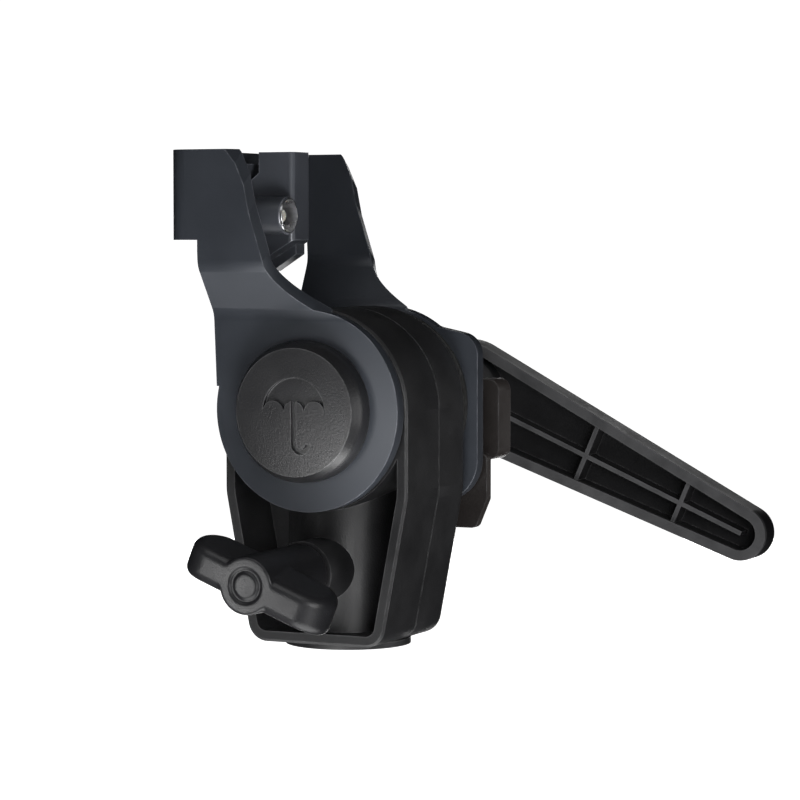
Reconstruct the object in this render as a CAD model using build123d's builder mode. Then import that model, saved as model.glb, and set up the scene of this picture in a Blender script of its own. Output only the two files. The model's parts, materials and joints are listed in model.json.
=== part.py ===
from build123d import *
import math
import os

# Umbrella swivel bracket: a lever-clamped tilt head for a studio lamp on a light stand.
# Millimetres, +Z up. Origin: centre of the stand socket's mouth. The tilt axis runs along Y,
# with the capped arm at -Y and the clamp lever at +Y. The lamp and its umbrella point along X.

os.makedirs("parts", exist_ok=True)

# Tilt axis and moulded head
pivot_z = 50.8
head_r = 21.4
half_depth = 15.9
taper_z = 33.0
skirt_bottom_z = 1.3
foot_half_width = 15.4
wall = 2.3
mid_web = 2.4
front_chamfer = 0.5
rear_round = 4.2
foot_round = 4.5
taper_round = 12.0
groove_depth = 0.25
groove_half_width = 0.2

# Stand socket, for a 16 mm spigot
spigot_bore_r = 8.1
liner_r = 10.0
liner_top = 38.0
socket_r = 12.8
lip_r = 13.5
lip_height = 1.3

# Tee knob and its screw (M8) in the socket's boss
knob_z = 16.9
boss_r = 6.8
boss_front_y = -21.8
insert_r = 5.5
insert_rear_y = -10.6
stud_r = 3.95
thread_bore_r = 4.0
pad_rear_y = -8.15
pad_front_y = -11.4
knob_hub_r = 6.4
hub_taper = 1.1
knob_rear_y = -22.7
knob_front_y = -47.0
knob_bar_depth = 11.4
knob_bar_span = 33.6
knob_bar_shift = 0.8
knob_bar_front_height = 7.0
knob_bar_rear_height = 10.4
knob_bar_round = 2.2
knob_bar_tilt = 21.5
knob_ring_r = 3.6

# Yoke: bent sheet with two arms and a web
sheet = 3.0
disc_r = 21.2
arm_low_y = 20.0
arm_high_y = 26.0
jog_start_z = 71.0
jog_end_z = 81.0
arm_left = -22.5
arm_cut_rise = 0.8
rear_arm_shift = 0.8
tab_bottom_z = 86.5
arm_top_z = 105.5
web_x = -30.0
shoulder_x = 22.8
shoulder_top_z = 65.6
arm_bush_r = 7.5
lamp_hole_y = 17.0
lamp_hole_z = 96.0
lamp_hole_rise = 4.5
lamp_hole_r = 2.65

# Pivot bolt: shouldered, M8 at the lever's end
shank_r = 5.0
bolt_thread_r = 4.0
bolt_flat = 4.1
flat_half_length = 8.0
bolt_head_r = 10.0
bolt_head_rear_y = -21.2
bolt_head_front_y = -23.4
bolt_end_y = 51.0
sleeve_r = 6.6
slack = 0.05

# Pressure block behind the rear arm
block_front_y = 21.0
flange_rear_y = 23.2
block_bar_rear_y = 29.8
block_boss_rear_y = 35.0
flange_r = 19.8
flange_half_width = 23.3
flange_corner_z = 30.0
flange_foot_half_width = 20.6
flange_bottom_z = 23.6
block_bar_z = 47.35
block_bar_width = 50.2
block_bar_height = 17.7
block_boss_r = 11.0
key_half_width = 8.0
key_bottom_z = 18.6
key_top_z = 22.4
key_front_y = 13.2
key_rib_thick = 2.0
key_rib_x = 9.2
key_rib_front_y = 1.0
key_rib_rear_y = 15.4
key_rib_bottom_z = 14.0
key_rib_top_z = 27.0

# Clamp nut and lever
nut_front_y = 40.0
nut_collar_rear_y = 43.9
teeth_rear_y = 47.7
nut_rear_y = 56.0
tooth_count = 18
tooth_tip_r = 6.9
tooth_root_r = 6.2
nut_shank_r = 5.95
nut_collar_r = 9.4
lever_screw_r = 2.5
lever_screw_head_r = 4.6
lever_screw_head = 2.5
lever_screw_key = 4.0
lever_back_round = 1.6
lever_angle = -23.5
lever_length = 74.7
lever_hub_r = 11.4
lever_hub_offset = 1.3
lever_tip_r = 6.0
lever_front_y = 58.0
lever_back_y = 66.0
lever_wall = 2.3
lever_floor = 2.4
rib = 1.0
rib_recess = 1.0
cross_ribs = (34.0, 59.0)
neck_r = 9.0
neck_front_y = 44.1
guide_front_y = 48.0
guide_rear_y = 56.2
pocket_front_y = 58.4
pocket_r = 5.4
hub_back_y = 68.6

# Umbrella post, sleeve and lock screw
post_left = -21.5
post_right = -13.1
post_front_y = -0.2
post_rear_y = 8.0
post_edge_round = 1.2
post_rib = 4.0
umbrella_y = -2.9
umbrella_z = 91.7
umbrella_bore_r = 3.55
umbrella_sleeve_r = 3.75
umbrella_boss_r = 4.1
lock_x = -17.3
lock_screw_r = 2.45
lock_pad_r = 2.0
lock_pad_rear_y = 3.6
lock_key = 2.5
post_screw_r = 2.0
post_screw_head_r = 4.1
post_screw_y = 9.5
post_screw_z = 97.0
post_flange = 2.8
post_flange_width = 27.0
post_flange_height = 12.0


def at_y(y):
    """A plane facing the front (-Y) at the given Y, with its x along X and its y along Z."""
    return Plane.XZ.offset(-y)


def make_disc(label, outer_r, inner_r, front_y, rear_y):
    """A flat ring about the knob_bar_angle axis."""
    with BuildPart() as ring:
        with BuildSketch(at_y(rear_y)):
            with Locations((0, pivot_z)):
                Circle(outer_r)
                Circle(inner_r, mode=Mode.SUBTRACT)
        extrude(amount=rear_y - front_y)
    ring.part.label = label
    export_step(ring.part, f"parts/{label}.step")


def star_points(tip_r, root_r):
    """The corners of a serrated ring about the knob_bar_angle axis."""
    points = []
    for corner in range(2 * tooth_count):
        angle = math.pi * corner / tooth_count
        radius = tip_r if corner % 2 == 0 else root_r
        points.append((radius * math.cos(angle), pivot_z + radius * math.sin(angle)))
    return points


# --- Stand body: head, hollow skirt and stand socket, one black moulding ---

with BuildSketch(Plane.XZ) as body_outline:
    with BuildLine():
        Polyline(
            (-head_r, pivot_z),
            (-head_r, taper_z),
            (-foot_half_width, skirt_bottom_z),
            (foot_half_width, skirt_bottom_z),
            (head_r, taper_z),
            (head_r, pivot_z),
            close=True,
        )
    make_face()
    fillet(body_outline.vertices().group_by(Axis.Y)[0], radius=foot_round)
    taper_corners = body_outline.vertices().filter_by_position(Axis.Y, taper_z - 1, taper_z + 1)
    fillet(taper_corners, radius=taper_round)
    with Locations((0, pivot_z)):
        Circle(head_r)

with BuildSketch(Plane.XZ) as body_hollow:
    add(body_outline.sketch_local)
    offset(amount=-wall, mode=Mode.REPLACE)
    with Locations((0, pivot_z)):
        Circle(head_r, mode=Mode.SUBTRACT)

with BuildSketch(Plane.XZ) as parting_groove:
    add(body_outline.sketch_local)
    offset(body_outline.sketch_local, amount=-groove_depth, mode=Mode.SUBTRACT)

with BuildPart() as stand_body:
    extrude(body_outline.sketch, amount=half_depth, both=True)
    fillet(stand_body.faces().sort_by(Axis.Y)[-1].edges(), radius=rear_round)
    chamfer(stand_body.faces().sort_by(Axis.Y)[0].edges(), length=front_chamfer)
    extrude(parting_groove.sketch, amount=groove_half_width, both=True, mode=Mode.SUBTRACT)
    # hollows in front of and behind the middle web
    hollow_depth = half_depth - mid_web / 2
    front_hollow = body_hollow.sketch.moved(Location((0, -mid_web / 2, 0)))
    extrude(front_hollow, amount=hollow_depth, mode=Mode.SUBTRACT)
    rear_hollow = body_hollow.sketch.moved(Location((0, mid_web / 2, 0)))
    extrude(rear_hollow, amount=-hollow_depth, mode=Mode.SUBTRACT)
    # stand socket with its lip
    with BuildSketch(Plane.XY):
        Circle(socket_r)
    extrude(amount=liner_top + 2)
    with BuildSketch(Plane.XY):
        Circle(lip_r)
    extrude(amount=lip_height)
    # boss for the tee knob's screw
    with BuildSketch(at_y(insert_rear_y)):
        with Locations((0, knob_z)):
            Circle(boss_r)
    extrude(amount=insert_rear_y - boss_front_y)
    # two ribs that key the pressure block
    with BuildSketch(Plane.XY.offset(key_rib_bottom_z)):
        with Locations((key_rib_x, key_rib_front_y), (-key_rib_x, key_rib_front_y)):
            Rectangle(key_rib_thick, key_rib_rear_y - key_rib_front_y, align=(Align.CENTER, Align.MIN))
    extrude(amount=key_rib_top_z - key_rib_bottom_z)
    # bores for the liner, the thread insert and the pivot sleeve
    with BuildSketch(Plane.XY):
        Circle(liner_r)
    extrude(amount=liner_top, mode=Mode.SUBTRACT)
    with BuildSketch(at_y(-8)):
        with Locations((0, knob_z)):
            Circle(insert_r)
    extrude(amount=20, mode=Mode.SUBTRACT)
    with BuildSketch(Plane.XZ):
        with Locations((0, pivot_z)):
            Circle(sleeve_r)
    extrude(amount=2 * half_depth, both=True, mode=Mode.SUBTRACT)
stand_body.part.label = "stand_body"
export_step(stand_body.part, "parts/stand_body.step")

# --- Socket liner, thread insert and clamp pad ---

with BuildPart() as socket_liner:
    with BuildSketch(Plane.XY):
        Circle(liner_r)
        Circle(spigot_bore_r, mode=Mode.SUBTRACT)
    extrude(amount=liner_top)
    with BuildSketch(Plane.XZ):
        with Locations((0, knob_z)):
            Circle(stud_r + 0.1)
    extrude(amount=liner_r + 1, mode=Mode.SUBTRACT)
socket_liner.part.label = "socket_liner"
export_step(socket_liner.part, "parts/socket_liner.step")

with BuildPart() as knob_insert:
    with BuildSketch(at_y(insert_rear_y)):
        with Locations((0, knob_z)):
            Circle(insert_r)
            Circle(thread_bore_r, mode=Mode.SUBTRACT)
    extrude(amount=insert_rear_y - boss_front_y)
knob_insert.part.label = "knob_insert"
export_step(knob_insert.part, "parts/knob_insert.step")

with BuildPart() as clamp_pad:
    with BuildSketch(at_y(pad_rear_y)):
        with Locations((0, knob_z)):
            Circle(stud_r)
    extrude(amount=pad_rear_y - pad_front_y)
    chamfer(clamp_pad.faces().sort_by(Axis.Y)[-1].edges(), length=0.4)
clamp_pad.part.label = "clamp_pad"
export_step(clamp_pad.part, "parts/clamp_pad.step")

# --- Tee knob and its stud ---

stud_front_y = knob_front_y + 5
with BuildPart() as knob_stud:
    with BuildSketch(at_y(pad_front_y)):
        with Locations((0, knob_z)):
            Circle(stud_r)
    extrude(amount=pad_front_y - stud_front_y)
knob_stud.part.label = "knob_stud"
export_step(knob_stud.part, "parts/knob_stud.step")

knob_bar_angle = math.radians(knob_bar_tilt)
knob_bar_middle = (0, knob_front_y + knob_bar_depth / 2, knob_z)
along_knob_bar = (math.cos(knob_bar_angle), 0, -math.sin(knob_bar_angle))
knob_bar_up = (math.sin(knob_bar_angle), 0, math.cos(knob_bar_angle))
knob_bar_plan = Plane(origin=knob_bar_middle, x_dir=along_knob_bar, z_dir=knob_bar_up)
knob_bar_section = Plane(origin=knob_bar_middle, x_dir=(0, 1, 0), z_dir=along_knob_bar)
with BuildPart() as tee_knob:
    with BuildSketch(knob_bar_plan):
        with Locations((knob_bar_shift, 0)):
            SlotOverall(knob_bar_span, knob_bar_depth)
    extrude(amount=knob_bar_rear_height / 2, both=True)
    # the bar thins towards the front
    with BuildSketch(knob_bar_section):
        with BuildLine():
            Polyline(
                (-knob_bar_depth / 2, knob_bar_front_height / 2),
                (-knob_bar_depth / 2, -knob_bar_front_height / 2),
                (knob_bar_depth / 2, -knob_bar_rear_height / 2),
                (knob_bar_depth / 2, knob_bar_rear_height / 2),
                close=True,
            )
        make_face()
    extrude(amount=knob_bar_span, both=True, mode=Mode.INTERSECT)
    fillet(tee_knob.edges(), radius=knob_bar_round)
    with BuildSketch(at_y(knob_rear_y)):
        with Locations((0, knob_z)):
            Circle(knob_hub_r)
    extrude(amount=knob_rear_y - knob_front_y, taper=hub_taper)
    with BuildSketch(at_y(knob_front_y)):
        with Locations((0, knob_z)):
            Circle(knob_ring_r)
            Circle(knob_ring_r - 0.9, mode=Mode.SUBTRACT)
    extrude(amount=-0.4, mode=Mode.SUBTRACT)
    with BuildSketch(at_y(knob_rear_y)):
        with Locations((0, knob_z)):
            Circle(stud_r)
    extrude(amount=knob_rear_y - stud_front_y, mode=Mode.SUBTRACT)
tee_knob.part.label = "tee_knob"
export_step(tee_knob.part, "parts/tee_knob.step")

# --- Yoke: one sheet, two jogged arms and the web between them ---

with BuildSketch(Plane.XZ) as front_disc:
    with Locations((0, pivot_z)):
        Circle(disc_r)

with BuildSketch(Plane.XZ) as rear_disc:
    with BuildLine():
        Polyline(
            (0, pivot_z - disc_r),
            (shoulder_x, pivot_z - disc_r),
            (shoulder_x, shoulder_top_z),
            (13.5, 67.5),
            (3.0, 71.0),
            (0, pivot_z),
            close=True,
        )
    make_face()
    fillet(rear_disc.vertices().sort_by_distance((shoulder_x, pivot_z - disc_r))[0], radius=9.2)
    fillet(rear_disc.vertices().sort_by_distance((shoulder_x, shoulder_top_z))[0], radius=5)
    with Locations((0, pivot_z)):
        Circle(disc_r)

# the arm above the disc, as its outline crosses the outer skin's upper level
with BuildSketch(Plane.XZ) as upper_arm:
    with BuildLine():
        Polyline(
            (5.0, 65.0),
            (0, pivot_z),
            (-disc_r, pivot_z),
            (arm_left, jog_end_z + 3),
            (arm_left, arm_top_z),
            (-15.9, arm_top_z),
            (-13.4, 102.5),
            (-11.4, 98.0),
            (-10.2, 92.0),
            (-7.0, 82.0),
        )
        Spline((-7.0, 82.0), (-4.9, 76.0), (-1.7, 71.4), (5.0, 65.0))
    make_face()

# The upper arm's edge is cut square to the jogged sheet, so it climbs on its way inwards.
with BuildPart() as arm_blanks:
    extrude(front_disc.sketch, amount=arm_high_y)
    extrude(rear_disc.sketch, amount=-arm_high_y)
    front_upper = upper_arm.sketch.moved(Location((0, -arm_high_y, 0)))
    extrude(front_upper, amount=arm_high_y, dir=(0, 1, arm_cut_rise))
    rear_upper = upper_arm.sketch.moved(Location((rear_arm_shift, arm_high_y, 0)))
    extrude(rear_upper, amount=arm_high_y, dir=(0, -1, arm_cut_rise))

jog_slope = math.atan2(arm_high_y - arm_low_y, jog_end_z - jog_start_z)
bend_rise = sheet * math.tan(jog_slope / 2)
with BuildSketch(Plane.YZ) as arm_sections:
    with BuildLine():
        outer_skin = FilletPolyline(
            (-arm_low_y, 20),
            (-arm_low_y, jog_start_z),
            (-arm_high_y, jog_end_z),
            (-arm_high_y, arm_top_z),
            radius=5,
        )
        inner_skin = FilletPolyline(
            (-arm_high_y + sheet, arm_top_z),
            (-arm_high_y + sheet, jog_end_z + bend_rise),
            (-arm_low_y + sheet, jog_start_z + bend_rise),
            (-arm_low_y + sheet, 20),
            radius=5,
        )
        Line(outer_skin @ 1, inner_skin @ 0)
        Line(inner_skin @ 1, outer_skin @ 0)
    make_face()
    mirror(about=Plane.YZ)

with BuildPart() as yoke:
    extrude(arm_sections.sketch, amount=40, both=True)
    add(arm_blanks.part, mode=Mode.INTERSECT)
    with BuildSketch(Plane.XY.offset(tab_bottom_z)) as web_section:
        with Locations((web_x, 0)):
            Rectangle(10, 2 * arm_high_y, align=(Align.MIN, Align.CENTER))
        fillet(web_section.vertices().group_by(Axis.X)[0], radius=4.5)
    extrude(amount=arm_top_z - tab_bottom_z)
    with BuildSketch(Plane.XY.offset(tab_bottom_z)) as web_inside:
        with Locations((web_x + sheet, 0)):
            Rectangle(10, 2 * (arm_high_y - sheet), align=(Align.MIN, Align.CENTER))
        fillet(web_inside.vertices().group_by(Axis.X)[0], radius=1.5)
    extrude(amount=arm_top_z - tab_bottom_z, mode=Mode.SUBTRACT)
    # pivot holes in both arms
    with BuildSketch(Plane.XZ):
        with Locations((0, pivot_z)):
            Circle(arm_bush_r)
    extrude(amount=40, both=True, mode=Mode.SUBTRACT)
    # four lamp holes, the umbrella sleeve's hole and two countersunk holes in the web
    with BuildSketch(Plane.YZ.offset(web_x)):
        with Locations((0, lamp_hole_z)):
            with GridLocations(2 * lamp_hole_y, 2 * lamp_hole_rise, 2, 2):
                Circle(lamp_hole_r)
        with Locations((umbrella_y, umbrella_z)):
            Circle(umbrella_sleeve_r)
    extrude(amount=sheet, mode=Mode.SUBTRACT)
    web_outside = Plane(origin=(web_x, 0, 0), x_dir=(0, 1, 0), z_dir=(-1, 0, 0))
    with Locations(web_outside):
        with Locations((post_screw_y, -post_screw_z), (-post_screw_y, -post_screw_z)):
            CounterSinkHole(post_screw_r + 0.1, post_screw_head_r, depth=sheet)
yoke.part.label = "yoke"
export_step(yoke.part, "parts/yoke.step")

with BuildPart() as arm_bushes:
    with BuildSketch(at_y(-arm_low_y + sheet)):
        with Locations((0, pivot_z)):
            Circle(arm_bush_r)
            Circle(shank_r + slack, mode=Mode.SUBTRACT)
    extrude(amount=sheet)
    with BuildSketch(at_y(arm_low_y)):
        with Locations((0, pivot_z)):
            Circle(arm_bush_r)
            Circle(bolt_thread_r + slack, mode=Mode.SUBTRACT)
    extrude(amount=sheet)
arm_bushes.part.label = "arm_bushes"
export_step(arm_bushes.part, "parts/arm_bushes.step")

# --- Umbrella post, sleeve, lock screw and pad ---

with BuildPart() as umbrella_post:
    with BuildSketch(at_y(post_rear_y)):
        with BuildLine():
            Polyline(
                (post_right, arm_top_z),
                (post_right, 86.5),
                (post_left, 81.6),
                (web_x + sheet, tab_bottom_z),
                (web_x + sheet, 96.5),
                (post_left, 101.0),
                (post_left, arm_top_z),
                close=True,
            )
        make_face()
    extrude(amount=post_rear_y - post_front_y)
    # deeper rib along the post's rear
    with BuildSketch(at_y(post_rear_y)):
        with BuildLine():
            Polyline(
                (post_right - 1.5, 90.0),
                (post_right - 1.5, 83.4),
                (-20.4, 79.7),
                (web_x + sheet, 82.5),
                (web_x + sheet, 90.0),
                close=True,
            )
        make_face()
    extrude(amount=post_rib)
    fillet(umbrella_post.edges().filter_by(Axis.Z).group_by(Axis.X)[-1], radius=post_edge_round)
    # swelling around the sleeve
    with BuildSketch(Plane.YZ.offset(post_right)):
        with Locations((umbrella_y, umbrella_z)):
            Circle(umbrella_boss_r)
    extrude(amount=post_left - post_right)
    # mounting flange against the web
    with BuildSketch(Plane.YZ.offset(web_x + sheet)):
        with Locations((0, post_screw_z)):
            RectangleRounded(post_flange_width, post_flange_height, 2)
    extrude(amount=post_flange)
    with BuildSketch(Plane.YZ.offset(web_x + sheet)):
        with Locations((umbrella_y, umbrella_z)):
            Circle(umbrella_sleeve_r)
    extrude(amount=20, mode=Mode.SUBTRACT)
    with BuildSketch(Plane.YZ.offset(web_x + sheet)):
        with Locations((post_screw_y, post_screw_z), (-post_screw_y, post_screw_z)):
            Circle(post_screw_r)
    extrude(amount=post_flange, mode=Mode.SUBTRACT)
    # tapped hole for the lock screw
    with BuildSketch(at_y(post_rear_y)):
        with Locations((lock_x, umbrella_z)):
            Circle(lock_screw_r + slack)
    extrude(amount=post_rear_y - umbrella_y, mode=Mode.SUBTRACT)
umbrella_post.part.label = "umbrella_post"
export_step(umbrella_post.part, "parts/umbrella_post.step")

with BuildPart() as umbrella_sleeve:
    with BuildSketch(Plane.YZ.offset(web_x)):
        with Locations((umbrella_y, umbrella_z)):
            Circle(umbrella_sleeve_r)
            Circle(umbrella_bore_r, mode=Mode.SUBTRACT)
    extrude(amount=post_right + 0.5 - web_x)
    with BuildSketch(at_y(post_rear_y)):
        with Locations((lock_x, umbrella_z)):
            Circle(lock_pad_r + slack)
    extrude(amount=post_rear_y - umbrella_y, mode=Mode.SUBTRACT)
umbrella_sleeve.part.label = "umbrella_sleeve"
export_step(umbrella_sleeve.part, "parts/umbrella_sleeve.step")

with BuildPart() as post_screws:
    with BuildSketch(Plane.YZ.offset(web_x)):
        with Locations((post_screw_y, post_screw_z), (-post_screw_y, post_screw_z)):
            Circle(post_screw_head_r)
    extrude(amount=post_screw_head_r - post_screw_r, taper=45)
    with BuildSketch(Plane.YZ.offset(web_x)):
        with Locations((post_screw_y, post_screw_z), (-post_screw_y, post_screw_z)):
            Circle(post_screw_r)
    extrude(amount=sheet + post_flange)
    with BuildSketch(Plane.YZ.offset(web_x)):
        with Locations((post_screw_y, post_screw_z), (-post_screw_y, post_screw_z)):
            RegularPolygon(radius=lock_key / 2, side_count=6, major_radius=False)
    extrude(amount=1.4, mode=Mode.SUBTRACT)
post_screws.part.label = "post_screws"
export_step(post_screws.part, "parts/post_screws.step")

with BuildPart() as umbrella_pad:
    with BuildSketch(at_y(lock_pad_rear_y)):
        with Locations((lock_x, umbrella_z)):
            Circle(lock_pad_r)
    extrude(amount=lock_pad_rear_y - umbrella_y - umbrella_bore_r - slack)
umbrella_pad.part.label = "umbrella_pad"
export_step(umbrella_pad.part, "parts/umbrella_pad.step")

with BuildPart() as umbrella_lock_screw:
    with BuildSketch(at_y(post_rear_y - 0.2)):
        with Locations((lock_x, umbrella_z)):
            Circle(lock_screw_r)
    extrude(amount=post_rear_y - 0.2 - lock_pad_rear_y)
    with BuildSketch(at_y(post_rear_y - 0.2)):
        with Locations((lock_x, umbrella_z)):
            RegularPolygon(radius=lock_key / 2, side_count=6, major_radius=False)
    extrude(amount=2, mode=Mode.SUBTRACT)
umbrella_lock_screw.part.label = "umbrella_lock_screw"
export_step(umbrella_lock_screw.part, "parts/umbrella_lock_screw.step")

# --- Pivot bolt, sleeve, cap and washers ---

with BuildPart() as pivot_bolt:
    with BuildSketch(at_y(bolt_head_rear_y)):
        with Locations((0, pivot_z)):
            Circle(bolt_head_r)
    extrude(amount=bolt_head_rear_y - bolt_head_front_y)
    chamfer(pivot_bolt.faces().sort_by(Axis.Y)[0].edges(), length=0.8)
    with BuildSketch(at_y(flat_half_length)):
        with Locations((0, pivot_z)):
            Circle(shank_r)
    extrude(amount=flat_half_length - bolt_head_rear_y)
    # two flats in the middle of the head keep the bolt from turning
    with BuildSketch(at_y(flat_half_length)):
        with Locations((0, pivot_z + bolt_flat + 1), (0, pivot_z - bolt_flat - 1)):
            Rectangle(12, 2)
    extrude(amount=2 * flat_half_length, mode=Mode.SUBTRACT)
    with BuildSketch(at_y(bolt_end_y)):
        with Locations((0, pivot_z)):
            Circle(bolt_thread_r)
    extrude(amount=bolt_end_y - flat_half_length)
    chamfer(pivot_bolt.faces().sort_by(Axis.Y)[-1].edges(), length=0.8)
pivot_bolt.part.label = "pivot_bolt"
export_step(pivot_bolt.part, "parts/pivot_bolt.step")

with BuildPart() as pivot_sleeve:
    with BuildSketch(at_y(half_depth)):
        with Locations((0, pivot_z)):
            Circle(sleeve_r)
            Circle(bolt_thread_r + slack, mode=Mode.SUBTRACT)
    extrude(amount=2 * half_depth)
    with BuildSketch(at_y(flat_half_length)):
        with Locations((0, pivot_z)):
            Circle(shank_r + slack)
            Rectangle(12, 2 * (bolt_flat + slack), mode=Mode.INTERSECT)
    extrude(amount=2 * flat_half_length, mode=Mode.SUBTRACT)
    with BuildSketch(at_y(-flat_half_length)):
        with Locations((0, pivot_z)):
            Circle(shank_r + slack)
    extrude(amount=half_depth - flat_half_length, mode=Mode.SUBTRACT)
pivot_sleeve.part.label = "pivot_sleeve"
export_step(pivot_sleeve.part, "parts/pivot_sleeve.step")

cap_base_y = -arm_low_y - 0.1
cap_face_y = -25.7
cap_base_r = 14.9
cap_face_r = 13.4
cap_hollow_r = 12.4
sign_depth = 0.8
canopy_r = 7.2
scallop_r = canopy_r / 3
handle_width = 1.1
with BuildPart() as pivot_cap:
    with BuildSketch(Plane.YZ):
        with BuildLine():
            Polyline(
                (cap_base_y, pivot_z),
                (cap_base_y, pivot_z + cap_base_r),
                (cap_base_y - 3.4, pivot_z + cap_base_r - 0.2),
                (cap_face_y, pivot_z + cap_face_r),
                (cap_face_y, pivot_z),
                close=True,
            )
        make_face()
    revolve(axis=Axis((0, 0, pivot_z), (0, 1, 0)))
    with BuildSketch(at_y(cap_base_y)):
        with Locations((0, pivot_z)):
            Circle(cap_hollow_r)
    extrude(amount=3.5, mode=Mode.SUBTRACT)
    # sunk umbrella sign: scalloped canopy, stick and hooked handle
    with BuildSketch(at_y(cap_face_y)):
        with Locations((0, pivot_z)):
            Circle(canopy_r)
            Rectangle(2 * canopy_r, canopy_r, align=(Align.CENTER, Align.MAX), mode=Mode.SUBTRACT)
            with GridLocations(2 * scallop_r, 1, 3, 1):
                Circle(scallop_r, mode=Mode.SUBTRACT)
            Rectangle(handle_width, 13, align=(Align.CENTER, Align.CENTER))
        with Locations((handle_width * 1.5, pivot_z - 6.5)):
            Circle(2 * handle_width)
            Circle(handle_width, mode=Mode.SUBTRACT)
            Rectangle(
                5 * handle_width,
                3 * handle_width,
                align=(Align.CENTER, Align.MIN),
                mode=Mode.SUBTRACT,
            )
        with Locations((0, pivot_z)):
            Rectangle(handle_width, 6.5, align=(Align.CENTER, Align.MAX))
    extrude(amount=-sign_depth, mode=Mode.SUBTRACT)
pivot_cap.part.label = "pivot_cap"
export_step(pivot_cap.part, "parts/pivot_cap.step")

friction_r = 20.6
friction_hole_r = sleeve_r + 0.4
friction_y = half_depth + 1.0
nut_washer_rear_y = nut_front_y - 0.1
nut_washer_front_y = nut_washer_rear_y - 1.5
make_disc("front_thrust_washer", 11.5, shank_r + slack, bolt_head_rear_y, -arm_low_y - 0.1)
make_disc("front_friction_washer", friction_r, friction_hole_r, -friction_y, -half_depth)
make_disc("rear_friction_washer", friction_r, friction_hole_r, half_depth, friction_y)
make_disc("pressure_disc", 18.5, bolt_thread_r + 0.3, arm_low_y + 0.1, block_front_y)
make_disc("thrust_washer", 9.8, bolt_thread_r + slack, nut_washer_front_y, nut_washer_rear_y)

# --- Pressure block: keyed to the skirt, it presses the rear arm without turning ---

with BuildPart() as pressure_block:
    with BuildSketch(at_y(flange_rear_y)) as block_flange:
        with BuildLine():
            Polyline(
                (-flange_half_width, 40),
                (-flange_half_width, flange_corner_z),
                (-flange_foot_half_width, flange_bottom_z),
                (flange_foot_half_width, flange_bottom_z),
                (flange_half_width, flange_corner_z),
                (flange_half_width, 40),
                close=True,
            )
        make_face()
        fillet(block_flange.vertices(), radius=1.5)
        with Locations((0, pivot_z)):
            Circle(flange_r)
    extrude(amount=flange_rear_y - block_front_y)
    # cross bar behind the flange
    with BuildSketch(at_y(block_bar_rear_y)):
        with Locations((0, block_bar_z)):
            RectangleRounded(block_bar_width, block_bar_height, 2.6)
    extrude(amount=block_bar_rear_y - flange_rear_y)
    # boss for the disc springs, and stiffening web down to the key
    with BuildSketch(at_y(block_boss_rear_y)):
        with Locations((0, pivot_z)):
            Circle(block_boss_r)
    extrude(amount=block_boss_rear_y - flange_rear_y)
    with BuildSketch(at_y(block_bar_rear_y)):
        with Locations((0, key_bottom_z)):
            Rectangle(2 * key_half_width, 30, align=(Align.CENTER, Align.MIN))
    extrude(amount=block_bar_rear_y - block_front_y)
    with BuildSketch(at_y(block_front_y)):
        with Locations((0, key_bottom_z)):
            Rectangle(2 * key_half_width, key_top_z - key_bottom_z, align=(Align.CENTER, Align.MIN))
    extrude(amount=block_front_y - key_front_y)
    with BuildSketch(at_y(block_boss_rear_y)):
        with Locations((0, pivot_z)):
            Circle(bolt_thread_r + 0.1)
    extrude(amount=20, mode=Mode.SUBTRACT)
pressure_block.part.label = "pressure_block"
export_step(pressure_block.part, "parts/pressure_block.step")

# --- Coned disc springs, stacked in series ---

spring_rise = 0.35
spring_thick = 0.7
spring_gap = 0.04
spring_inner_r = 4.3
spring_outer_r = 9.5
with BuildPart() as disc_springs:
    for index in range(3):
        base_y = block_boss_rear_y + spring_gap / 2 + index * (spring_rise + spring_thick + spring_gap)
        inner_lift = spring_rise if index % 2 == 0 else 0
        outer_lift = spring_rise - inner_lift
        with BuildSketch(Plane.YZ):
            with BuildLine():
                Polyline(
                    (base_y + inner_lift, pivot_z + spring_inner_r),
                    (base_y + outer_lift, pivot_z + spring_outer_r),
                    (base_y + outer_lift + spring_thick, pivot_z + spring_outer_r),
                    (base_y + inner_lift + spring_thick, pivot_z + spring_inner_r),
                    close=True,
                )
            make_face()
        revolve(axis=Axis((0, 0, pivot_z), (0, 1, 0)))
disc_springs.part.label = "disc_springs"
export_step(disc_springs.part, "parts/disc_springs.step")

# --- Clamp nut ---

with BuildPart() as clamp_nut:
    with BuildSketch(at_y(nut_collar_rear_y)):
        with Locations((0, pivot_z)):
            Circle(nut_collar_r)
    extrude(amount=nut_collar_rear_y - nut_front_y)
    with BuildSketch(at_y(teeth_rear_y)):
        with BuildLine():
            Polyline(*star_points(tooth_tip_r, tooth_root_r), close=True)
        make_face()
    extrude(amount=teeth_rear_y - nut_collar_rear_y)
    with BuildSketch(at_y(nut_rear_y)):
        with Locations((0, pivot_z)):
            Circle(nut_shank_r)
    extrude(amount=nut_rear_y - teeth_rear_y)
    with BuildSketch(at_y(bolt_end_y + 1)):
        with Locations((0, pivot_z)):
            Circle(bolt_thread_r + slack)
    extrude(amount=bolt_end_y + 1 - nut_front_y, mode=Mode.SUBTRACT)
    with BuildSketch(at_y(nut_rear_y)):
        with Locations((0, pivot_z)):
            Circle(lever_screw_r)
    extrude(amount=nut_rear_y - bolt_end_y, mode=Mode.SUBTRACT)
clamp_nut.part.label = "clamp_nut"
export_step(clamp_nut.part, "parts/clamp_nut.step")

# --- Lever: ribbed channel, open towards the front ---

lever_direction = Vector(math.cos(math.radians(lever_angle)), math.sin(math.radians(lever_angle)))


def lever_point(along, across):
    """A point on the lever, along it from the knob_bar_angle axis and across it."""
    return (
        along * lever_direction.X - across * lever_direction.Y,
        pivot_z + along * lever_direction.Y + across * lever_direction.X,
    )


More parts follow.
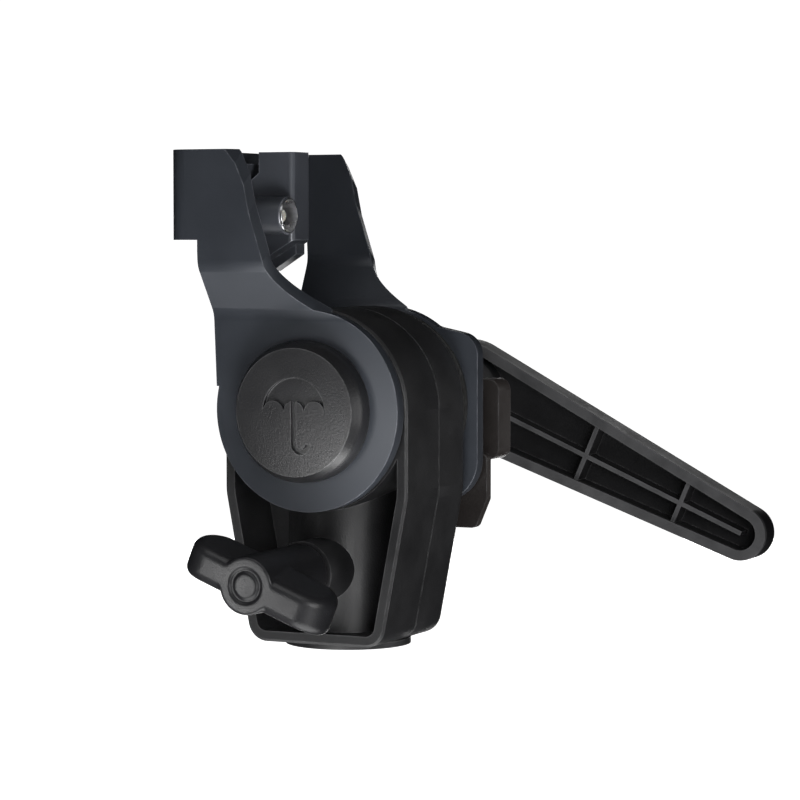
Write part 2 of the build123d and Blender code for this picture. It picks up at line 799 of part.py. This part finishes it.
def lever_outline(inset):
    """The lever's tapered outline, drawn in by the inset."""
    with BuildSketch(Plane.XZ) as outline:
        with Locations(lever_point(0, lever_hub_offset)):
            Circle(lever_hub_r - inset)
        with Locations(lever_point(lever_length, 0)):
            Circle(lever_tip_r - inset)
        make_hull()
    return outline


lever_outside = lever_outline(0)
lever_inside = lever_outline(lever_wall)
lever_floor_y = lever_back_y - lever_floor
with BuildPart() as lever_handle:
    lever_back = lever_outside.sketch.moved(Location((0, lever_back_y, 0)))
    extrude(lever_back, amount=lever_back_y - lever_front_y)
    fillet(lever_handle.faces().sort_by(Axis.Y)[-1].edges(), radius=lever_back_round)
    channel = lever_inside.sketch.moved(Location((0, lever_floor_y, 0)))
    extrude(channel, amount=lever_floor_y - lever_front_y, mode=Mode.SUBTRACT)
    with BuildSketch(at_y(lever_floor_y)) as ribs:
        with Locations(Location((*lever_point(lever_length / 2, 0), 0), lever_angle)):
            Rectangle(lever_length, rib)
        for station in cross_ribs:
            with Locations(Location((*lever_point(station, 0), 0), lever_angle)):
                Rectangle(rib, 3 * lever_hub_r)
        add(lever_inside.sketch_local, mode=Mode.INTERSECT)
    extrude(amount=lever_floor_y - lever_front_y - rib_recess)
    with BuildSketch(at_y(hub_back_y)):
        with Locations((0, pivot_z)):
            Circle(neck_r)
    extrude(amount=hub_back_y - neck_front_y)
    # serrated bore, guide bore, screw hole and spring pocket
    with BuildSketch(at_y(guide_front_y)):
        with BuildLine():
            Polyline(*star_points(tooth_tip_r + 0.1, tooth_root_r + 0.1), close=True)
        make_face()
    extrude(amount=guide_front_y - neck_front_y, mode=Mode.SUBTRACT)
    with BuildSketch(at_y(guide_rear_y)):
        with Locations((0, pivot_z)):
            Circle(nut_shank_r + slack)
    extrude(amount=guide_rear_y - guide_front_y, mode=Mode.SUBTRACT)
    with BuildSketch(at_y(pocket_front_y)):
        with Locations((0, pivot_z)):
            Circle(lever_screw_r + slack)
    extrude(amount=pocket_front_y - guide_rear_y, mode=Mode.SUBTRACT)
    with BuildSketch(at_y(hub_back_y)):
        with Locations((0, pivot_z)):
            Circle(pocket_r)
    extrude(amount=hub_back_y - pocket_front_y, mode=Mode.SUBTRACT)
lever_handle.part.label = "lever_handle"
export_step(lever_handle.part, "parts/lever_handle.step")

# --- Lever screw, spring and cap ---

screw_head_front_y = 64.7
with BuildPart() as lever_screw:
    with BuildSketch(at_y(screw_head_front_y + lever_screw_head)):
        with Locations((0, pivot_z)):
            Circle(lever_screw_head_r)
    extrude(amount=lever_screw_head)
    with BuildSketch(at_y(screw_head_front_y)):
        with Locations((0, pivot_z)):
            Circle(lever_screw_r)
    extrude(amount=screw_head_front_y - bolt_end_y - 1.5)
    with BuildSketch(at_y(screw_head_front_y + lever_screw_head)):
        with Locations((0, pivot_z)):
            RegularPolygon(radius=lever_screw_key / 2, side_count=6, major_radius=False)
    extrude(amount=1.6, mode=Mode.SUBTRACT)
lever_screw.part.label = "lever_screw"
export_step(lever_screw.part, "parts/lever_screw.step")

wire_r = 0.3
with BuildPart() as lever_spring:
    with BuildLine() as coil:
        Helix(
            pitch=2.6,
            height=screw_head_front_y - pocket_front_y - 2 * wire_r - 0.2,
            radius=4.4,
            center=(0, pocket_front_y + wire_r + 0.1, pivot_z),
            direction=(0, 1, 0),
        )
    with BuildSketch(Plane(origin=coil.line @ 0, z_dir=coil.line % 0)):
        Circle(wire_r)
    sweep()
lever_spring.part.label = "lever_spring"
export_step(lever_spring.part, "parts/lever_spring.step")

cap_plug = 1.2
cap_rim = 1.2
cap_rim_r = 7.6
with BuildPart() as lever_cap:
    with BuildSketch(at_y(hub_back_y)):
        with Locations((0, pivot_z)):
            Circle(pocket_r)
    extrude(amount=cap_plug)
    with BuildSketch(at_y(hub_back_y + cap_rim)):
        with Locations((0, pivot_z)):
            Circle(cap_rim_r)
    extrude(amount=cap_rim)
    fillet(lever_cap.faces().sort_by(Axis.Y)[-1].edges(), radius=0.8)
lever_cap.part.label = "lever_cap"
export_step(lever_cap.part, "parts/lever_cap.step")
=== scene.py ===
# Umbrella swivel bracket: materials, rounded edges, small details, light and camera around the packed
# frame. Metres, in the frame's own axes. MM turns millimetres into metres.

import json
import math

import bmesh
import bpy
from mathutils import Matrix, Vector


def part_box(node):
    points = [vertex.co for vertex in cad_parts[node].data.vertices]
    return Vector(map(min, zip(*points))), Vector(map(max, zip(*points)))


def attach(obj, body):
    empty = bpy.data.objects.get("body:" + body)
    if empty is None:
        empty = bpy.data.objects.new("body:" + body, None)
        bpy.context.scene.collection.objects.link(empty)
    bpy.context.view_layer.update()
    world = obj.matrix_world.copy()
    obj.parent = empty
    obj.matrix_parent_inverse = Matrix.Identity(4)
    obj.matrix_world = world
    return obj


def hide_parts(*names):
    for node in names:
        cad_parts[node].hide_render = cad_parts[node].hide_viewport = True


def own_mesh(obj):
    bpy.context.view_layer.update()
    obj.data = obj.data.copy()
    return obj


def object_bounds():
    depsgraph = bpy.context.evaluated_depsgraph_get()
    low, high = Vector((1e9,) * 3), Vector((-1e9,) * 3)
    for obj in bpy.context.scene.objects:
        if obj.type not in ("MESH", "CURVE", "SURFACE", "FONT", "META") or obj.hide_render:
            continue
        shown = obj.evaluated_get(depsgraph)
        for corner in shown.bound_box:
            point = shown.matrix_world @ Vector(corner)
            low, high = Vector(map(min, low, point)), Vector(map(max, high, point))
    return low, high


MM = 0.001

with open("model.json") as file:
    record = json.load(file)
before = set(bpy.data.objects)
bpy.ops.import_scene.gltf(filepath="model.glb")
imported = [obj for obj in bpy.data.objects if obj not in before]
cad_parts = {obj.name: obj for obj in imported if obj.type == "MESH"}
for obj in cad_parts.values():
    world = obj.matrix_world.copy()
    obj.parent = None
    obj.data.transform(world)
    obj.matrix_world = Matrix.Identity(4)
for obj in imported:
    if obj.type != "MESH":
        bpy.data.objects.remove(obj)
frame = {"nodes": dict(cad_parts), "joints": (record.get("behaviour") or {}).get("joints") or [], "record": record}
cad_low, cad_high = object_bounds()

joints = {joint["name"]: joint for joint in frame["joints"]}
pivot = Vector(joints["yoke_tilt"]["pos_m"])


# --- Node helpers ----------------------------------------------------------------------------------


class Graph:
    """A material's node tree, with short calls for the nodes that the finishes share."""

    def __init__(self, name):
        self.material = bpy.data.materials.new(name)
        self.material.use_nodes = True
        self.tree = self.material.node_tree
        self.shader = self.tree.nodes["Principled BSDF"]
        self.place = self.add("ShaderNodeTexCoord").outputs["Object"]

    def add(self, kind, **settings):
        node = self.tree.nodes.new(kind)
        for name, value in settings.items():
            setattr(node, name, value)
        return node

    def link(self, source, target):
        self.tree.links.new(source, target)

    def noise(self, size, detail=2.0, stretch=(1, 1, 1)):
        """Noise whose features are about size metres across, drawn out by stretch."""
        mapping = self.add("ShaderNodeMapping")
        mapping.inputs["Scale"].default_value = stretch
        self.link(self.place, mapping.inputs["Vector"])
        node = self.add("ShaderNodeTexNoise")
        node.inputs["Scale"].default_value = 1 / size
        node.inputs["Detail"].default_value = detail
        self.link(mapping.outputs["Vector"], node.inputs["Vector"])
        return node.outputs["Fac"]

    def spread(self, value, low, high, start=0.0, end=1.0):
        """Maps value from start..end onto low..high."""
        node = self.add("ShaderNodeMapRange")
        self.link(value, node.inputs["Value"])
        node.inputs["From Min"].default_value = start
        node.inputs["From Max"].default_value = end
        node.inputs["To Min"].default_value = low
        node.inputs["To Max"].default_value = high
        return node.outputs["Result"]

    def clouds(self, noise, low, high):
        """Maps the middle of a noise, where most of it lies, onto low..high."""
        return self.spread(noise, low, high, 0.3, 0.7)

    def math(self, operation, a, b):
        node = self.add("ShaderNodeMath", operation=operation)
        for socket, value in zip(node.inputs, (a, b)):
            if isinstance(value, (int, float)):
                socket.default_value = value
            else:
                self.link(value, socket)
        return node.outputs["Value"]

    def mix(self, factor, a, b):
        """A colour between a and b."""
        node = self.add("ShaderNodeMix", data_type="RGBA")
        self.link(factor, node.inputs["Factor"])
        for socket, value in ((node.inputs["A"], a), (node.inputs["B"], b)):
            if isinstance(value, tuple):
                socket.default_value = (*value, 1)
            else:
                self.link(value, socket)
        return node.outputs["Result"]

    def edges(self, width):
        """1 on edges about width across and 0 away from them."""
        flat, sharp = 0.002, 0.06
        bevel = self.add("ShaderNodeBevel", samples=6)
        bevel.inputs["Radius"].default_value = width
        plain = self.add("ShaderNodeNewGeometry")
        dot = self.add("ShaderNodeVectorMath", operation="DOT_PRODUCT")
        self.link(bevel.outputs["Normal"], dot.inputs[0])
        self.link(plain.outputs["Normal"], dot.inputs[1])
        turned = self.math("SUBTRACT", 1.0, dot.outputs["Value"])
        return self.spread(turned, 0, 1, flat, sharp)

    def bump(self, height, distance):
        node = self.add("ShaderNodeBump")
        node.inputs["Distance"].default_value = distance
        self.link(height, node.inputs["Height"])
        self.link(node.outputs["Normal"], self.shader.inputs["Normal"])

    def feed(self, name, value):
        socket = self.shader.inputs[name]
        if isinstance(value, tuple):
            socket.default_value = (*value, 1)
        elif isinstance(value, (int, float)):
            socket.default_value = value
        else:
            self.link(value, socket)


def shade(colour, factor):
    """The colour, made lighter or darker."""
    return tuple(c * factor for c in colour)


# --- Finishes --------------------------------------------------------------------------------------

# lighter colour for moulded plastic: worn edges plus painted highlight on arrises and on lit front faces
wear_and_highlight_plastic = (0.16, 0.16, 0.165)
rubbed_paint = (0.24, 0.25, 0.28)


def moulded(name, colour, grain=0.35 * MM, rough=(0.38, 0.52), highlight_y=None):
    """Black moulded plastic: spark grain, uneven gloss, and edges rubbed smoother and painted lighter, partly as
    wear and partly as a painted highlight on the arrises.

    Faces in front of the given Y, when one is given, are painted lighter all over: a painted highlight standing in
    for light on the lever's rim and ribs.
    """
    g = Graph(name)
    fine = g.noise(grain, detail=3)
    cloudy = g.noise(9 * MM, detail=3)
    patches = g.spread(g.noise(2.2 * MM), 0.25, 0.85, 0.35, 0.65)
    edge = g.math("MULTIPLY", g.edges(0.45 * MM), patches)
    tinted = g.mix(g.clouds(cloudy, 0, 1), colour, shade(colour, 1.25))
    # edges painted lighter: partly wear, partly a painted highlight on the arrises
    worn_and_highlit = g.mix(g.math("MULTIPLY", edge, 0.5), tinted, wear_and_highlight_plastic)
    # painted highlight: faces in front of the given Y are lightened as if lit, not worn
    if highlight_y is not None:
        place = g.add("ShaderNodeSeparateXYZ")
        g.link(g.place, place.inputs["Vector"])
        front = g.spread(place.outputs["Y"], 1, 0, highlight_y, highlight_y + 0.3 * MM)
        front_highlight = g.math("MULTIPLY", front, g.clouds(g.noise(5 * MM, detail=4), 0.28, 0.5))
        worn_and_highlit = g.mix(front_highlight, worn_and_highlit, wear_and_highlight_plastic)
    g.feed("Base Color", worn_and_highlit)
    uneven = g.clouds(cloudy, *rough)
    g.feed("Roughness", g.math("SUBTRACT", uneven, g.math("MULTIPLY", edge, 0.1)))
    g.feed("Specular IOR Level", 0.5)
    g.bump(fine, 0.04 * MM)
    return g.material


def painted(name, colour):
    """Satin powder coat over steel: soft orange peel, a few darker clouds and thin bright edges."""
    g = Graph(name)
    peel = g.noise(0.9 * MM, detail=2)
    cloudy = g.noise(14 * MM, detail=4)
    patches = g.spread(g.noise(3 * MM, detail=4), 0.2, 1.0, 0.4, 0.62)
    edge = g.math("MULTIPLY", g.edges(0.35 * MM), patches)
    tinted = g.mix(g.clouds(cloudy, 0, 1), colour, shade(colour, 1.18))
    g.feed("Base Color", g.mix(g.math("MULTIPLY", edge, 0.55), tinted, rubbed_paint))
    g.feed("Metallic", 0.25)
    g.feed("Roughness", g.clouds(cloudy, 0.34, 0.44))
    g.bump(peel, 0.012 * MM)
    return g.material


def machined(name, colour, rough=(0.22, 0.36)):
    """Turned or plated metal: fine tool marks round the Y axis, with cloudy roughness."""
    g = Graph(name)
    marks = g.noise(0.5 * MM, detail=2, stretch=(0.15, 3.0, 0.15))
    cloudy = g.noise(4 * MM, detail=3)
    g.feed("Base Color", g.mix(g.clouds(cloudy, 0, 1), colour, shade(colour, 0.82)))
    g.feed("Metallic", 1.0)
    g.feed("Roughness", g.clouds(cloudy, *rough))
    g.bump(marks, 0.006 * MM)
    return g.material


def fibrous(name, colour):
    """Pressed friction fibre: dull, flecked and slightly rough."""
    g = Graph(name)
    flecks = g.noise(0.6 * MM, detail=5, stretch=(1, 1, 0.4))
    g.feed("Base Color", g.mix(g.spread(flecks, 0, 1, 0.42, 0.66), colour, shade(colour, 2.2)))
    g.feed("Roughness", g.spread(flecks, 0.75, 0.95))
    g.bump(flecks, 0.05 * MM)
    return g.material


def waxy(name, colour):
    """Natural acetal or nylon: pale, slightly translucent and smooth."""
    g = Graph(name)
    cloudy = g.noise(3 * MM, detail=2)
    g.feed("Base Color", g.mix(cloudy, colour, shade(colour, 0.93)))
    g.feed("Roughness", g.spread(cloudy, 0.35, 0.5))
    g.feed("Subsurface Weight", 0.15)
    g.shader.inputs["Subsurface Radius"].default_value = (0.8 * MM, 0.6 * MM, 0.4 * MM)
    g.bump(cloudy, 0.01 * MM)
    return g.material


plain_black = (0.013, 0.013, 0.014)
# the front faces of the lever's walls and ribs all lie in front of this, and get a painted highlight
lever_highlight_y = 59.1 * MM

finishes = {
    "body_moulding": moulded("body_moulding", plain_black),
    "cap_moulding": moulded("cap_moulding", (0.011, 0.011, 0.012), rough=(0.30, 0.38)),
    "block_moulding": moulded("block_moulding", (0.018, 0.015, 0.014)),
    "knob_moulding": moulded("knob_moulding", (0.017, 0.017, 0.019), grain=0.3 * MM, rough=(0.32, 0.42)),
    "lever_moulding": moulded("lever_moulding", plain_black, rough=(0.32, 0.44), highlight_y=lever_highlight_y),
    "lever_cap_moulding": moulded("lever_cap_moulding", plain_black),
    "yoke_paint": painted("yoke_paint", (0.034, 0.038, 0.046)),
    "post_paint": painted("post_paint", (0.034, 0.037, 0.044)),
    "sleeve_chrome": machined("sleeve_chrome", (0.78, 0.78, 0.80), rough=(0.24, 0.32)),
    "bolt_steel": machined("bolt_steel", (0.42, 0.42, 0.44)),
    "sleeve_steel": machined("sleeve_steel", (0.46, 0.46, 0.47)),
    "washer_steel": machined("washer_steel", (0.50, 0.50, 0.52)),
    "spring_steel": machined("spring_steel", (0.30, 0.30, 0.32)),
    "nut_steel": machined("nut_steel", (0.38, 0.38, 0.40)),
    "screw_steel": machined("screw_steel", (0.16, 0.16, 0.17)),
    "insert_brass": machined("insert_brass", (0.72, 0.52, 0.24)),
    "liner_aluminium": machined("liner_aluminium", (0.62, 0.63, 0.65)),
    "friction_fibre": fibrous("friction_fibre", (0.02, 0.02, 0.02)),
    "bush_acetal": waxy("bush_acetal", (0.72, 0.72, 0.68)),
    "pad_nylon": waxy("pad_nylon", (0.80, 0.78, 0.70)),
}

slot_of = {part["node"]: part["material_slot"] for part in frame["record"]["subparts"]}


# --- Rounded edges ---------------------------------------------------------------------------------

plain_edge = 0.2 * MM
# pieces whose edges aren't rounded by the plain radius
edge_radius = {
    "stand_body": 0.3 * MM,
    "yoke": 0.35 * MM,
    "pivot_cap": 0.25 * MM,
    "pressure_block": 0.5 * MM,
    "lever_handle": 0.6 * MM,
    "tee_knob": 0.35 * MM,
    "umbrella_sleeve": 0.05 * MM,
    "umbrella_post": 0.08 * MM,
}
weld_gap = 0.002 * MM
sharp_angle = math.radians(35)
knob_grid = 0.24 * MM
knob_blend_passes = 7


def finish_node(node, piece):
    """Gives a CAD node its material and rounds its sharp edges."""
    piece.data.materials.clear()
    piece.data.materials.append(finishes[slot_of[node]])
    weld = piece.modifiers.new("weld", "WELD")
    weld.merge_threshold = weld_gap
    bevel = piece.modifiers.new("bevel", "BEVEL")
    bevel.limit_method = "ANGLE"
    bevel.angle_limit = sharp_angle
    bevel.width = edge_radius.get(node, plain_edge)
    bevel.segments = 3


def soften(piece, voxel, passes):
    """Turns a moulded piece's seams into smooth blends."""
    grid = piece.modifiers.new("grid", "REMESH")
    grid.mode = "VOXEL"
    grid.voxel_size = voxel
    grid.use_smooth_shade = True
    blend = piece.modifiers.new("blend", "SMOOTH")
    blend.factor = 0.5
    blend.iterations = passes


for node, piece in frame["nodes"].items():
    finish_node(node, piece)
soften(frame["nodes"]["tee_knob"], knob_grid, knob_blend_passes)


# --- Made pieces -----------------------------------------------------------------------------------


def make_object(name, shape):
    """Turns a bmesh into a smooth object in the scene, and frees it."""
    mesh = bpy.data.meshes.new(name)
    bmesh.ops.recalc_face_normals(shape, faces=shape.faces)
    shape.to_mesh(mesh)
    shape.free()
    for face in mesh.polygons:
        face.use_smooth = True
    made = bpy.data.objects.new(name, mesh)
    bpy.context.scene.collection.objects.link(made)
    return made


spring_low, spring_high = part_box("lever_spring")
spring_length = spring_high[1] - spring_low[1]
wire_r = 0.3 * MM
coil_r = (spring_high[0] - spring_low[0]) / 2 - wire_r
coil_turns = 4.0
flat_turns = 0.5
steps_per_turn = 28
wire_sides = 10


def coil_point(turn):
    """The wire's centre after so many turns; the flat turns at the ends close the spring."""
    free = spring_length - 2 * wire_r
    climb = min(max((turn - flat_turns) / (coil_turns - 2 * flat_turns), 0), 1)
    angle = 2 * math.pi * turn
    along = spring_low[1] + wire_r + free * climb
    return Vector((coil_r * math.cos(angle), along, pivot.z + coil_r * math.sin(angle)))


def make_spring():
    """A coil spring with closed ends, drawn in place of the CAD spring and carried with the nut."""
    shape = bmesh.new()
    rings = []
    for step in range(int(coil_turns * steps_per_turn) + 1):
        here = coil_point(step / steps_per_turn)
        out = Vector((here.x, 0, here.z - pivot.z)).normalized()
        across = Vector((0, 1, 0))
        angles = [2 * math.pi * side / wire_sides for side in range(wire_sides)]
        places = [here + wire_r * (out * math.cos(t) + across * math.sin(t)) for t in angles]
        rings.append([shape.verts.new(place) for place in places])
    for first, second in zip(rings, rings[1:]):
        for side in range(wire_sides):
            after = (side + 1) % wire_sides
            shape.faces.new((first[side], first[after], second[after], second[side]))
    shape.faces.new(rings[0])
    shape.faces.new(rings[-1])
    coil = make_object("lever_coil", shape)
    coil.data.materials.append(finishes["spring_steel"])
    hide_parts("lever_spring")
    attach(coil, "nut")
    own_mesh(coil)


make_spring()


# --- Backdrop --------------------------------------------------------------------------------------

# the lever swings below the socket, so the floor lies well under it
floor_z = cad_low.z - 60 * MM
floor_r = 4.0
wall_bend_r = 3.0
wall_height = 9.0
floor_glow = 1.1


def white_for_camera(graph, plain, strength):
    """Joins a glow that only the camera sees onto a shader, and returns the sum."""
    glow = graph.add("ShaderNodeEmission")
    glow.inputs["Color"].default_value = (1, 1, 1, 1)
    rays = graph.add("ShaderNodeLightPath")
    seen = graph.math("MULTIPLY", rays.outputs["Is Camera Ray"], strength)
    graph.link(seen, glow.inputs["Strength"])
    total = graph.add("ShaderNodeAddShader")
    graph.link(plain, total.inputs[0])
    graph.link(glow.outputs["Emission"], total.inputs[1])
    return total.outputs["Shader"]


def make_floor():
    """A pale round floor that curves up into a high wall, lit so evenly that it reads as white."""
    bend = [math.radians(angle) for angle in range(0, 91, 10)]
    profile = [(0, 0)]
    profile += [(floor_r + wall_bend_r * math.sin(t), wall_bend_r * (1 - math.cos(t))) for t in bend]
    profile.append((floor_r + wall_bend_r, wall_height))
    shape = bmesh.new()
    line = [shape.verts.new((out, 0, floor_z + up)) for out, up in profile]
    edges = [shape.edges.new(pair) for pair in zip(line, line[1:])]
    bmesh.ops.spin(
        shape,
        geom=line + edges,
        axis=(0, 0, 1),
        cent=(0, 0, 0),
        angle=2 * math.pi,
        steps=64,
    )
    bmesh.ops.remove_doubles(shape, verts=shape.verts, dist=1 * MM)
    floor = make_object("floor", shape)
    g = Graph("floor_paint")
    g.feed("Base Color", (0.8, 0.8, 0.8))
    g.feed("Roughness", 0.9)
    g.feed("Specular IOR Level", 0.1)
    output = g.tree.nodes["Material Output"]
    g.link(white_for_camera(g, g.shader.outputs["BSDF"], floor_glow), output.inputs["Surface"])
    floor.data.materials.append(g.material)
    # only the camera sees the floor, so it neither blocks nor throws light
    floor.visible_shadow = False
    floor.visible_diffuse = False
    floor.visible_glossy = False


# --- Light -----------------------------------------------------------------------------------------

world_light = 0.06
# points that lamps face
body_front = (0, -0.03, 0.03)
head_middle = (0, -0.02, 0.04)
side_face = (0, 0, 0.04)
post_middle = (-0.015, 0, 0.09)
lever_middle = (0.05, 0.06, 0.03)
# nodes that the side lamp lights
side_nodes = ("stand_body", "yoke", "umbrella_post", "pivot_cap")

# name, place, size across, watts, the point it faces, and the nodes it lights; no nodes means all
lamps = (
    ("right", (0.35, -0.35, 0.05), 0.25, 1.15, pivot, ()),
    ("table", (0.02, -0.15, -0.35), 0.5, 2.3, head_middle, ()),
    ("top", (0.0, -0.35, 0.45), 0.3, 0.42, pivot, ()),
    ("rear", (-0.35, 0.75, -0.05), 0.5, 3.0, pivot, ()),
    ("disc", (-0.010, -0.094, 0.041), 0.03, 0.015, (0.020, -0.025, 0.045), ("yoke",)),
    ("cap", (-0.018, -0.098, 0.030), 0.02, 0.018, (0.012, -0.025, 0.040), ("pivot_cap",)),
    ("bevel", (0.057, -0.007, -0.045), 0.04, 0.03, (0.011, -0.025, 0.042), ("pivot_cap",)),
    ("rim", (0.06, -0.12, -0.06), 0.06, 0.26, head_middle, ("yoke", "pivot_cap", "umbrella_post")),
    ("post", (0.075, -0.105, 0.02), 0.05, 0.3, post_middle, ("umbrella_post", "umbrella_sleeve")),
    ("knob", (-0.085, -0.210, -0.015), 0.03, 0.08, (0, -0.047, 0.017), ("tee_knob",)),
    ("skirt", (-0.08, -0.16, -0.02), 0.06, 0.02, body_front, ("stand_body",)),
    ("foot", (0.02, -0.22, -0.10), 0.1, 0.16, body_front, ("stand_body",)),
    ("side", (0.45, 0.10, 0.05), 0.3, 0.55, side_face, side_nodes),
    ("block", (0.45, 0.10, 0.05), 0.3, 1.2, side_face, ("pressure_block",)),
    ("lever", (-0.10, 0.52, 0.22), 0.3, 0.12, lever_middle, ("lever_handle",)),
)


def soft_light(name, place, size, power, target):
    """A square soft lamp at place, size metres across, turned to the target and unseen by the camera."""
    lamp = bpy.data.lights.new(name, "AREA")
    lamp.size = size
    lamp.energy = power
    holder = bpy.data.objects.new(name, lamp)
    bpy.context.scene.collection.objects.link(holder)
    holder.location = place
    holder.rotation_euler = (Vector(target) - Vector(place)).to_track_quat("-Z", "Y").to_euler()
    holder.visible_camera = False
    return holder


def make_light():
    world = bpy.data.worlds.new("studio")
    bpy.context.scene.world = world
    world.use_nodes = True
    world.node_tree.nodes["Background"].inputs["Strength"].default_value = world_light
    for name, place, size, power, target, nodes in lamps:
        light = soft_light(name, place, size, power, target)
        if nodes:
            lit = bpy.data.collections.new(name + " lamp reaches")
            for node in nodes:
                lit.objects.link(frame["nodes"][node])
            light.light_linking.receiver_collection = lit


# --- Camera ----------------------------------------------------------------------------------------

view_azimuth = math.radians(25.34)
view_pitch = math.radians(-3.08)
camera_place = Vector((287.8, -581.8, 87.1)) * MM
lens = 136.19
nearest_seen = 0.01


def make_camera():
    camera = bpy.data.cameras.new("camera")
    camera.lens = lens
    camera.clip_start = nearest_seen
    holder = bpy.data.objects.new("camera", camera)
    bpy.context.scene.collection.objects.link(holder)
    holder.location = camera_place
    holder.rotation_euler = (math.pi / 2 + view_pitch, 0, view_azimuth)
    bpy.context.scene.camera = holder


make_floor()
make_light()
make_camera()
bpy.context.scene.view_settings.view_transform = "Standard"
